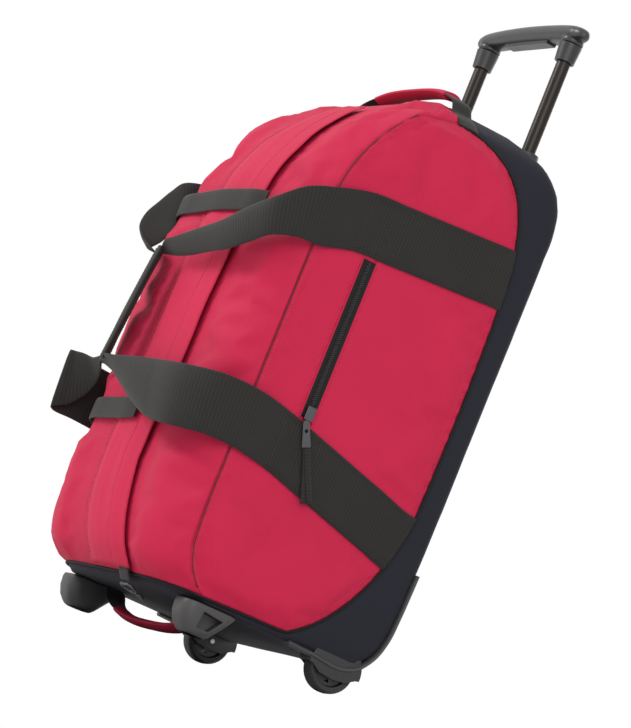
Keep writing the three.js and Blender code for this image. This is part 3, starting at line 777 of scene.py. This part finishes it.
# Each free leg from its sewn end to the grip: a place, half the band's width, and how far it crowns.
FREE_WEB = {
    "near_upper": [
        ((187.2, -128, 482), FULL, 0), ((186, -161, 473), (-3, -4, 29), 1),
        ((175, -185, 458), (-4, -4, 22), 2), ((147, -196, 443), (-9, -4, 20), 3),
        ((108, -203, 427), (-14, -4, 16), 3), ((60, -206, 418), (-17, -5, 12), 2.5),
        ((8, -206, 411), (-10, -7, 9), 2), ((-34, -204, 408), (2, -8, 4), 0),
        ((-50, -202, 404), (12, -6, -2), 0),
    ],
    "near_lower": [
        ((187.2, -128, 239), FULL, 0), ((179, -166, 240), (0, -2, 35), 1.5),
        ((150, -196, 237), (-4, -3, 35), 2.5), ((84, -206, 239), (-12, -4, 33), 3),
        ((28, -208, 247), (-11, -6, 25), 3), ((-22, -208, 257), (-3, -8, 14), 1),
        ((-54, -208, 265), (4, -8, 7), 0), ((-74, -208, 269), (10, -6, 4), 0),
    ],
    "far_upper": [
        ((-187, -112, 497), (0, -1, 30), 0), ((-188, -131, 503), (-6, -5, 21), 0),
        ((-186, -144, 500), (-15, -4, 19), 0), ((-180, -155, 485), (-21, -4, 19), 0),
        ((-171, -166, 467), (-23, -6, 17), 1), ((-160, -179, 447), (-21, -8, 15), 1),
        ((-147, -190, 430), (-15, -6, 12), 0), ((-128, -194, 420), (-9, -4, 7), 0),
        ((-104, -194, 413), (-8, -4, 4), 0),
    ],
    "far_lower": [
        ((-186.6, -135, 236), FULL, 0), ((-187, -172, 238), FULL, 1), ((-187.5, -199, 239), FULL, 0),
        ((-184, -205, 241), (0, -2, 35), 0), ((-176, -195, 246), (0, -7, 31), 0),
        ((-166, -187, 254), (0, -10, 23), 1), ((-152, -184, 262), (-1, -9, 13), 0),
        ((-136, -188, 268), (-3, -6, 6), 0), ((-118, -193, 271), (4, -4, 5), 0),
    ],
}


# The gusset's seam beside the straps: its y at each height.
SEAM_Z, SEAM_Y = TRAY_EDGE[4:-3, 1], TRAY_EDGE[4:-3, 0]


def build_straps():
    for side_name, side in SIDES:
        for row in ("upper", "lower"):
            sewn = [((side * 183.9, y, strap_middle(row, y)), FULL, 0) for y in (119, 100, 60, 10, -40, -84)]
            stops = sewn + FREE_WEB[f"{side_name}_{row}"]
            points, faces, uvs = strap_mesh(stops, out=side)
            # The sewn end is caught in the gusset's seam.
            reach = np.interp(points[:, 2], SEAM_Z, SEAM_Y) - 0.6
            points[:, 1] = np.minimum(points[:, 1], reach)
            points[:, 0] -= side * 0.9 * smoothstep(-14, 0, points[:, 1] - reach)
            obj = make(f"{side_name}_strap_{row}", points, faces, webbing, uvs)
            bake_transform(obj)
            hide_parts(f"sewn_strap_{side_name}_{row}", f"{side_name}_handle_{row}")
            rows = []
            for edge in (-31.5, 31.5):
                rows.append([(side * 185.2, y, strap_middle(row, y) + edge) for y in (96, 0, -86)])
            box = [(-84, 29), (-84, -29), (-34, -29), (-34, 29)]
            corners = [(side * 185.2, y, strap_middle(row, y) + dz) for y, dz in box]
            rows += [[corners[i], corners[j]] for i, j in ((0, 1), (1, 2), (2, 3), (3, 0), (0, 2), (1, 3))]
            sew(f"strap_stitching_{side_name}_{row}", rows, dark_thread)


def build_padded_grips():
    """The folded grip that each handle's two legs gather into."""
    grips = {
        "near": [((-51, -203, 410), (12, -5, 0), 0), ((-56, -204.5, 376), (13.5, -6, 0), 1),
                 ((-65, -207, 316), (13.5, -6, 0), 1), ((-77, -208, 268), (12, -5, 0), 0)],
        "far": [((-90, -189, 413), (12, -5, 0), 0), ((-94, -190.5, 376), (13.5, -6, 0), 1),
                ((-105, -192, 316), (13.5, -6, 0), 1), ((-114, -192, 270), (12, -5, 0), 0)],
    }
    for side_name, stops in grips.items():
        obj = strap(f"{side_name}_padded_grip", stops, thickness=9, out=-1, roundness=2.6, columns=13)
        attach(obj, f"{side_name}_handle")
        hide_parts(f"{side_name}_handle_grip")


def build_front_bands():
    """Two bands that lie over the front and cross the flap."""
    across = (-170, -150, -110, -70, -30, 0, 60, 92, 114)
    rise = (4, 5, 5, 6, 10, 13, 13, 12.5, 8.5)
    for row, z, half, last in (("upper", 479, 13, 9), ("lower", 219, 13, 6)):
        stops = [((x, front_at(x, z) - off - 1, z), (0, 0, half), 0) for x, off in zip(across[:last], rise)]
        if row == "lower":
            stops.append(((30, front_at(30, z) - 14, z + 2), (0, 0, half), 0))
        if row == "upper":
            stops = [((-187, -126, 497), (0, -8, 19), 0), ((-185, -138, 487), (0, -3, 16), 0)] + stops
        obj = strap(f"front_web_{row}", stops, thickness=1.8, out=-1)
        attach(obj, "bag")
        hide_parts(f"front_band_{row}")


def grab_handle(name, y, z, rise, half_span, sleeve_half):
    """A padded sleeve that arches away from the bag by rise, with webbing at each end."""
    up = 1 if rise > 0 else -1

    def height(x):
        return z + rise * (1 - (abs(x) / half_span)**3)

    def stops(xs, half):
        return [((x, y, height(x)), (0, half, 0), 0) for x in xs]

    s = sleeve_half
    sleeve = strap(f"{name}_padded_sleeve", stops(np.linspace(-s, s, 9), 12), red, "red_fabric",
                   thickness=10, out=-up, relief=0, roundness=2.2, columns=15, step=4)
    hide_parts(f"{name}_sleeve")
    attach(sleeve, name)
    xs = np.linspace(-s + 3, s - 3, 9)
    rows = [[(x, y + edge, height(x) + 2.3 * up) for x in xs] for edge in (-9.5, 9.5)]
    sew(f"{name}_stitching", rows, red_thread, body=name)
    # The webbing leaves the sleeve, comes down to the fabric and is sewn along it.
    for side_name, side in SIDES:
        widths = ((s - 3, 11.5), (s + 14, 12.5), (half_span - 12, 13))
        ends = [stops([x * side], half)[0] for x, half in widths]
        for beyond in (4, 12, 22, 32):
            place = on_fabric(side * (half_span + beyond), y, up)
            ends.append((place, (0, 13.5, 0), 0))
        web = strap(f"{name}_web_{side_name}", ends, thickness=2.6, out=-up * side)
        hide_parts(f"{name}_end_{side_name}")
        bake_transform(web)


# ---------------------------------------------------------------- flap and zips

FLAP_EDGE = np.array([
    [44, 90], [60, 90], [88, 84], [112, 77], [164, 66], [203, 70], [286, 76], [359, 77], [411, 84],
    [485, 91], [560, 92], [600, 82], [638, 66],
], float)


def flap_lift(x, z, a, free):
    """How far the flap stands off the front at x, z, a share a of the way from its seam to its free edge."""
    crest = 6.4 * smoothstep(0, 0.3, a) - 2.6 * smoothstep(0.7, 1, a) + 0.4
    gape = 1.1 * smoothstep(0.72, 1, a) * (0.5 + 0.9 * noise.noise(Vector((z / 46, 3.1, 0))))
    folds = 1.5 * noise.noise(Vector((x / 30 + z / 120, z / 64, 5))) * smoothstep(0.05, 0.3, a)
    ridge = 1.1 * math.exp(-((a - 0.42) / 0.05)**2) * (0.6 + noise.noise(Vector((z / 50, 9, 2))))
    sunk = -0.7 * math.exp(-((free - x - 36) / 2.2)**2)
    hem = 0.5 * smoothstep(3, 1, free - x) if free - x < 6 else 0
    return min(max(0.7, crest + gape + folds + ridge + sunk + hem), 12.0)


def build_flap():
    """One sheet with a turned edge, sewn down one side of the zip and laid over it."""
    heights = np.linspace(46, 640, 150)
    columns = 30
    points, uvs = [], []
    for under in (0, 1):
        for z in heights:
            free = float(np.interp(z, FLAP_EDGE[:, 0], FLAP_EDGE[:, 1]))
            sewn = -44 + 10 * float(smoothstep(560, 640, z)) + 18 * float(1 - smoothstep(46, 130, z))
            for k in range(columns):
                a = k / (columns - 1)
                x = sewn + (free - sewn) * a
                thick = 1.5 if under else 0
                points.append((x, float(front_at(x, z)) - flap_lift(x, z, a, free) - 1.5 + thick, z))
                uvs.append((x * MM, z * MM))
    rows = len(heights)
    top = grid_faces(rows, columns)
    faces = [face[::-1] for face in top] + [tuple(i + rows * columns for i in face) for face in top]
    rim = ([(0, c) for c in range(columns)] + [(r, columns - 1) for r in range(1, rows)]
           + [(rows - 1, c) for c in range(columns - 2, -1, -1)] + [(r, 0) for r in range(rows - 2, 0, -1)])
    ring = [r * columns + c for r, c in rim]
    for a, b in zip(ring, ring[1:] + ring[:1]):
        faces.append((a, b, b + rows * columns, a + rows * columns))
    points = np.array(points)
    # The flap's cloth is a lighter copy of the red: painted highlight.
    flap = make("storm_flap_cloth", points, outward(points, faces), flap_red_painted_highlight, uvs)
    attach(flap, "bag")
    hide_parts("storm_flap")
    outer = points[:rows * columns].reshape(rows, columns, 3)
    lines = []
    # Two lines of stitches beside the free edge, then two beside the seam.
    for column, inset in ((-1, -4.0), (-1, -36.0), (0, 2.5), (0, 8.0)):
        line = []
        for r in range(2, rows - 2):
            x = outer[r, column, 0] + inset
            line.append((x, np.interp(x, outer[r, :, 0], outer[r, :, 1]) - 0.2, outer[r, 0, 2]))
        lines.append(line)
    sew("flap_stitching", lines, red_thread)
    seam = [(outer[r, 0, 0] - 5, float(front_at(outer[r, 0, 0] - 5, outer[r, 0, 2])), outer[r, 0, 2])
            for r in range(0, rows, 3)]
    placed, _ = on_skin(seam, 0.25)
    sew("front_seam_stitching", [placed], red_thread)


def zip_teeth(line, lift, pitch=2.6, width=5.6):
    """Paired coil teeth along a line of (place, across, out) rows."""
    made = []
    for place, across, out in line:
        for side in (-1, 1):
            start = place + across * side * width / 2 + out * lift
            end = place - across * side * 0.4 + out * (lift + 0.25)
            up = np.array([0, 0, pitch / 4 * side])
            made.append(tube_mesh([start + up, (start + end) / 2 + up + out * 0.5, end + up], 0.62, 6))
    return made


def build_pocket_zip():
    x, y = 182.5, -61
    out, across = np.array([1.0, 0, 0]), np.array([0, 1.0, 0])
    tapes = []
    for side in (-1, 1):
        stops = [((x + 0.6, y + side * 4.3, z), (0, 3.9, 0), 0) for z in (268, 330, 395, 458)]
        tapes.append(strap_mesh(stops, thickness=1.0, out=1, relief=0, columns=5, step=8))
    tape = bands("pocket_tape", tapes, binding)
    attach(tape, "bag")
    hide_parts("pocket_zip_tape")
    line = [(np.array([x + 1.0, y, z]), across, out) for z in np.arange(270, 457, 2.6)]
    teeth = make("pocket_teeth", *joined(zip_teeth(line, 0.25)), zip_coil)
    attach(teeth, "bag")
    lips = []
    for side in (-1, 1):
        path = [(x - 0.2, y + side * 8.6, z) for z in np.linspace(264, 462, 30)]
        lips.append(tube_mesh(path, 1.15))
    lip = make("pocket_welt", *joined(lips), red)
    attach(lip, "bag")
    rows = [[(x + 0.15, y + side * 12.5, z) for z in (262, 360, 464)] for side in (-1, 1)]
    sew("pocket_stitching", [on_skin(even(row, 6), 0.25)[0] for row in rows], red_thread)


def build_main_zip():
    x = 30
    out, across = np.array([0, -1.0, 0]), np.array([1.0, 0, 0])
    stops = [((x, float(front_at(x, z)) - 1.2, z), (16, 0, 0), 0) for z in np.linspace(92, 608, 24)]
    main = strap("main_tape", stops, binding, thickness=1.2, out=-1, relief=0, step=8)
    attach(main, "bag")
    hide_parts("main_zip_tape")
    line = [(np.array([x, float(front_at(x, z)) - 1.8, z]), across, out) for z in np.arange(94, 606, 3.0)]
    coil = make("main_teeth", *joined(zip_teeth(line, 0.1, 3.0, 6.4)), zip_coil)
    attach(coil, "bag")


def build_pocket_pull():
    """A doubled web that hangs from the slider's tab and leans a little, its two ends apart."""
    pull = Vector(JOINTS["pocket_pull_swing"]["pos_m"]) / MM - Vector((0, CENTRE_Y, 0))
    lean = math.radians(24)
    down = np.array([0, math.sin(lean), -math.cos(lean)])
    along = np.array([0, math.cos(lean), math.sin(lean)])
    webs = []
    for side, splay in ((-1, 3.2), (1, 2.6)):
        stops = []
        for t in (27, 40, 58, 74, 88):
            spread = side * (0.6 + splay * ((t - 27) / 61)**1.5)
            place = np.array(pull) + down * t + along * spread + np.array([side * 0.7 + 1.6, 0, 0])
            stops.append((place, along * 3.6, 0))
        webs.append(strap_mesh(stops, thickness=1.5, out=1, rib=2.6, relief=0.35, columns=5))
    web = bands("pocket_pull_web", webs, webbing)
    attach(web, "pocket_pull")
    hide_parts("pocket_pull_webbing")


def build_flap_tab():
    tab_stops = [((HOOK_X, float(front_at(HOOK_X, z)) - off, z), (13.5, 0, 0), 0)
                 for z, off in ((54, 2.6), (48, 3.6), (42, 6.2), (34, 9))]
    tab = strap("flap_webbing_tab", tab_stops, thickness=2.2, out=-1, step=1)
    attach(tab, "bag")
    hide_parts("flap_tab")


# ---------------------------------------------------------------- seams on the body

def piping(name, lines, radius, material):
    obj = make(name, *joined([tube_mesh(line, radius) for line in lines]), material)
    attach(obj, "bag")


def build_seams():
    """One closed loop of piping round the gusset, a thin deep red tube down each side seam as painted shade
    in the seam's crease, and stitches beside them.
    """
    edge = even(TRAY_EDGE, 5)
    edge = edge[edge[:, 1] < 672]
    cords, rows = [], []
    for side in (1, -1):
        cords.append(side_line(edge[edge[:, 0] > -92], side))
        inner = edge + [-5.5, 0]
        rows.append(eased(on_skin(side_line(inner[12:-10], side), 0.35)[0], 3))
    front = [(x, float(front_at(x, 42)), 42) for x in np.linspace(172, -172, 80)]
    top = [(x, 3, 684) for x in np.linspace(-96, 96, 50)]
    loop = np.concatenate([cords[0][::-1], front, cords[1], top, cords[0][-1:]])
    piping("gusset_piping", [eased(on_skin(even(loop, 4), 0.9)[0], 6)], 1.5, binding)
    sew("gusset_stitching", rows, red_thread)
    seams, rows = [], []
    for side in (1, -1):
        line = even(SEAM_EDGE[1:-2], 5)
        seams.append(eased(on_skin(side_line(line, side), 0.35)[0], 16))
        rows.append(eased(on_skin(side_line(line + [5.0, 0], side), 0.3)[0], 4))
    # A thin deep red tube along each side seam: painted shade where the seam creases, not a cord.
    piping("side_seam_painted_shade", seams, 0.8, painted_seam_shade)
    sew("side_seam_stitching", rows, red_thread)


def build_back_seams():
    """Stitched channels down the back, where the stiff board is held."""
    rows = []
    for x in (-136, -131, 131, 136):
        line = [(x, float(level(z, BACK)) + 2, z) for z in np.arange(74, 604, 6)]
        rows.append(on_skin(line, 0.3)[0])
    for z in (70, 75, 603, 608):
        line = [(x, float(level(z, BACK)) + 2, z) for x in np.arange(-134, 135, 6)]
        rows.append(on_skin(line, 0.3)[0])
    sew("back_stitching", rows, back_thread)


# ---------------------------------------------------------------- feet

def rounded_ring(cx, cy, hx, hy, radius, z, per_corner=7):
    radius = min(radius, hx, hy)
    ring = []
    for k, (sx, sy) in enumerate(((1, 1), (-1, 1), (-1, -1), (1, -1))):
        for i in range(per_corner):
            angle = math.pi / 2 * (k + i / (per_corner - 1))
            ring.append((cx + sx * (hx - radius) + radius * math.cos(angle),
                         cy + sy * (hy - radius) + radius * math.sin(angle), z))
    return ring


def build_foot(side_name, side):
    """A moulded lug: flat on top, rounding under to its sole, with a recess in its outer face."""
    rings = []
    profile = ((35.2, -108.5, -47, 20.5), (34.6, -111, -45, 21.6), (30, -112, -47, 22), (20, -111, -54, 22),
               (10, -107, -62, 21.5), (4, -102, -66.5, 20.2), (1.2, -99, -69, 18.5), (0, -96, -71, 16.5))
    for z, front, back, half in profile:
        rings.append(rounded_ring(side * 162, (front + back) / 2, half, (back - front) / 2, 14, z))
    faces = [face[::-1] for face in stack_faces(len(rings), len(rings[0]))]
    obj = make(f"{side_name}_foot_lug", np.concatenate(rings), faces, grey_plastic)
    recess = prism([(-90, 9), (-74, 9), (-62, 25), (-88, 28)], side * 170, side * 190)
    cut_away(obj, [recess], soften=1.2)
    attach(obj, "bag")
    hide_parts(f"foot_{side_name}")


def build_skid(side_name, side):
    """A lip round the bottom back corner, and a domed housing with two cheeks that hold the axle."""
    path = [(22, 35.2), (50, 34.2), (103, 34.2), (112.5, 38.8), (121, 47.5), (129, 59.5), (135.8, 80),
            (138.8, 110), (140.2, 140), (141, 162)]
    stops = [((side * 176, y, z), (6.4, 0, 0), 0) for y, z in path]
    points, faces, _ = strap_mesh(stops, thickness=6.6, out=1, relief=0, roundness=2.3, columns=13, step=3)
    turn = np.linspace(-0.05, math.pi + 0.05, 25)
    dome, hollow = ([(WHEEL_Y + radius * math.cos(a), WHEEL_Z + radius * math.sin(a)) for a in turn]
                    for radius in (33.5, 31))
    cheek = dome + [(59, 26), (71, 19), (88, 17), (105, 19), (117, 26)]
    lip = make(f"{side_name}_skid_lip", points, faces, grey_plastic)
    pieces = [prism(cheek, side * x, side * (x + 2.6)) for x in (150.2, 177.0)]
    pieces.append(prism(dome + hollow[::-1], side * 152.6, side * 177.2))
    arch = make(f"{side_name}_wheel_arch", *joined(pieces), dark_plastic)
    soften_edges(arch, 0.7)
    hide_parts(f"wheel_housing_{side_name}")
    for obj in (lip, arch):
        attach(obj, "bag")


# ---------------------------------------------------------------- trolley grip and flap hook

TUBE_X, TUBE_Y = 100, 112.4


def build_grip():
    """An oval bar with a shallow groove near each end, round at both ends, with a neck over each socket."""
    points = []
    squareness = 0.86
    turn = np.linspace(0, 2 * math.pi, 36, endpoint=False)
    for t in np.linspace(-1, 1, 65):
        x = 127.4 * math.sin(t * math.pi / 2)
        round_off = max(0.0, 1 - abs(x / 127.6)**9)**0.5
        swell = 1 + 0.05 * math.cos(x / 128 * math.pi)
        depth, height = 15 * round_off * swell * 0.95, 10.6 * round_off
        middle = 822.2 + 4.6 * (1 - (x / 128)**2)
        groove = 1 - 0.05 * math.exp(-((abs(x) - 112) / 2)**2)
        for angle in turn:
            c, s = math.cos(angle), math.sin(angle)
            across = math.copysign(abs(c)**squareness, c) * depth * groove
            up = math.copysign(abs(s)**squareness, s) * height * groove
            points.append((x, TUBE_Y + across, middle + up))
    points = np.array(points)
    parts = [(points, outward(points, stack_faces(len(points) // len(turn), len(turn))))]
    for x in (-TUBE_X, TUBE_X):
        neck = [(x, TUBE_Y, 811.1), (x, TUBE_Y, 812.5), (x, TUBE_Y, 820)]
        parts.append(tube_mesh(neck, np.array([12.6, 13.6, 13.6]), 32))
    obj = make("trolley_hand_grip", *joined(parts), grip_plastic)
    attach(obj, "trolley")
    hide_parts("trolley_grip")


def build_hook():
    """A wire frame that the tab holds, with an open hook below it."""
    pivot = np.array([HOOK_X, -140, 29.5])
    along, out = np.array([0, 0.957, -0.29]), np.array([0, -0.29, -0.957])

    def wire(corners, radius):
        path = spline([pivot + [x, 0, 0] + along * s + out * k for x, s, k in corners], 40)
        return tube_mesh(path, radius, 10)

    frame_wire = wire([(0, 0, 0), (10, 0, 0), (11.5, 1.5, 0), (11.5, 10, 0), (10, 12, 0), (-10, 12, 0),
                       (-11.5, 10, 0), (-11.5, 1.5, 0), (-10, 0, 0), (0, 0, 0)], 1.5)
    hook_wire = wire([(0, 12, 0), (0, 18, 0), (3.5, 24, 0.5), (7.5, 25.5, 0.5), (9.5, 21, 0.5),
                      (8.5, 17, 0.5)], 1.7)
    obj = make("hook_wires", *joined([frame_wire, hook_wire]), gunmetal)
    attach(obj, "flap_hook")
    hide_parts("flap_hook")


# ---------------------------------------------------------------- rigid parts kept from the frame

# A material, and how far the edges are bevelled in millimetres, by how a node's name starts.
FINISHES = {
    "wheel_tyre": (rubber, 1.0), "wheel_hub": (dark_plastic, 0.4), "wheel_axle": (steel, 0.4),
    "outer_tube": (tube_metal, 0), "tube_collar": (dark_plastic, 1.0),
    "inner_tube": (tube_metal, 0), "release_rod": (steel, 0), "grip_socket": (dark_plastic, 0.8),
    "release_button": (dark_plastic, 0.8), "tube_bracket": (dark_plastic, 0.5),
    "back_board": (board, 0.4), "bracket_screw": (steel, 0.2),
    "pocket_pull_tab": (gunmetal, 0.35), "pocket_slider": (gunmetal, 0.9), "main_zip_slider": (gunmetal, 0.8),
}


def finish_kept_nodes():
    """Bevelled edges, smooth shading and a material on each node that still shows."""
    for name, node in frame["nodes"].items():
        if node.hide_render:
            continue
        material, edge = next(value for key, value in FINISHES.items() if name.startswith(key))
        node.data.materials.clear()
        node.data.materials.append(material)
        if "custom_normal" in node.data.attributes:
            node.data.attributes.remove(node.data.attributes["custom_normal"])
        node.data.polygons.foreach_set("use_smooth", [True] * len(node.data.polygons))
        weld = node.modifiers.new("Weld", "WELD")
        weld.merge_threshold = 0.02 * MM
        if edge:
            bevel = node.modifiers.new("Edges", "BEVEL")
            bevel.width = edge * MM
            bevel.segments = 2
            bevel.limit_method = "ANGLE"
            bevel.angle_limit = math.radians(34)
            bevel.harden_normals = True
        else:
            node.modifiers.new("Normals", "WEIGHTED_NORMAL")


# ---------------------------------------------------------------- stage

def softbox(name, place, size, power):
    lamp = bpy.data.lights.new(name, "AREA")
    lamp.shape = "RECTANGLE"
    lamp.size, lamp.size_y = size
    lamp.energy = power
    obj = bpy.data.objects.new(name, lamp)
    obj.location = place
    aim = Vector((0, 0, 0.35)) - Vector(place)
    obj.rotation_euler = aim.to_track_quat("-Z", "Y").to_euler()
    bpy.context.scene.collection.objects.link(obj)


def build_stage():
    """A pale floor under the bag, clear from below because the camera sits lower than the floor."""
    n = Nodes("pale_floor")
    place, *_ = object_axes(n)
    n.set(Base_Color=n.mix(n.noise(place, 3.0), colour((0.86, 0.86, 0.86)), colour((0.9, 0.9, 0.9))))
    n.set(Roughness=0.9)
    clear = n.add("ShaderNodeBsdfTransparent")
    under = n.tree.nodes.new("ShaderNodeNewGeometry").outputs["Backfacing"]
    blend = n.tree.nodes.new("ShaderNodeMixShader")
    n.put(blend.inputs[0], under)
    n.put(blend.inputs[1], n.shader.outputs[0])
    n.put(blend.inputs[2], clear.outputs[0])
    n.put(n.tree.nodes["Material Output"].inputs["Surface"], blend.outputs[0])
    half, z = 15000, -0.6
    corners = [(-half, -half, z), (half, -half, z), (half, half, z), (-half, half, z)]
    floor = make("floor", corners, [(0, 1, 2, 3)], n.material, smooth=False)

    world = bpy.data.worlds.new("studio")
    bpy.context.scene.world = world
    world.use_nodes = True
    world.node_tree.nodes["Background"].inputs["Color"].default_value = (1, 1, 1, 1)
    world.node_tree.nodes["Background"].inputs["Strength"].default_value = 1.0
    softbox("key", (-1.4, -3.0, 2.2), (1.2, 1.2), 74)
    softbox("fill", (3.2, -1.2, 1.6), (2.2, 2.2), 46)
    softbox("back", (-1.5, 2.6, 2.0), (1.6, 1.6), 22)


def build_camera():
    """Low, to the front right of the bag, and rolled."""
    azimuth, elevation, roll = (math.radians(a) for a in (65.33, -8.66, -22.05))
    distance = 4.329
    back = Vector((math.sin(azimuth) * math.cos(elevation), -math.cos(azimuth) * math.cos(elevation),
                   math.sin(elevation)))
    level_right = Vector((0, 0, 1)).cross(back).normalized()
    level_up = back.cross(level_right)
    up = math.cos(roll) * level_up + math.sin(roll) * level_right
    right = up.cross(back)
    camera = bpy.data.cameras.new("camera")
    camera.lens = 185.14
    camera.sensor_width = 36
    camera.clip_start, camera.clip_end = 0.05, 100
    obj = bpy.data.objects.new("camera", camera)
    turn = Matrix((right, up, back)).transposed().to_4x4()
    target = Vector((0, (8.27 + CENTRE_Y) * MM, 0.358))
    obj.matrix_world = Matrix.Translation(target + back * distance) @ turn
    bpy.context.scene.collection.objects.link(obj)
    bpy.context.scene.camera = obj


build_seams()
build_back_seams()
build_straps()
build_padded_grips()
build_front_bands()
grab_handle("top_grab", 2, 677, 22, 128, 88)
grab_handle("bottom_grab", -60, 28, -23, 130, 90)
build_flap()
build_pocket_zip()
build_main_zip()
build_pocket_pull()
build_flap_tab()
for name, direction in SIDES:
    build_foot(name, direction)
build_grip()
build_hook()
for name, direction in SIDES:
    build_skid(name, direction)
finish_kept_nodes()
build_stage()
build_camera()
bpy.context.scene.view_settings.view_transform = "Standard"
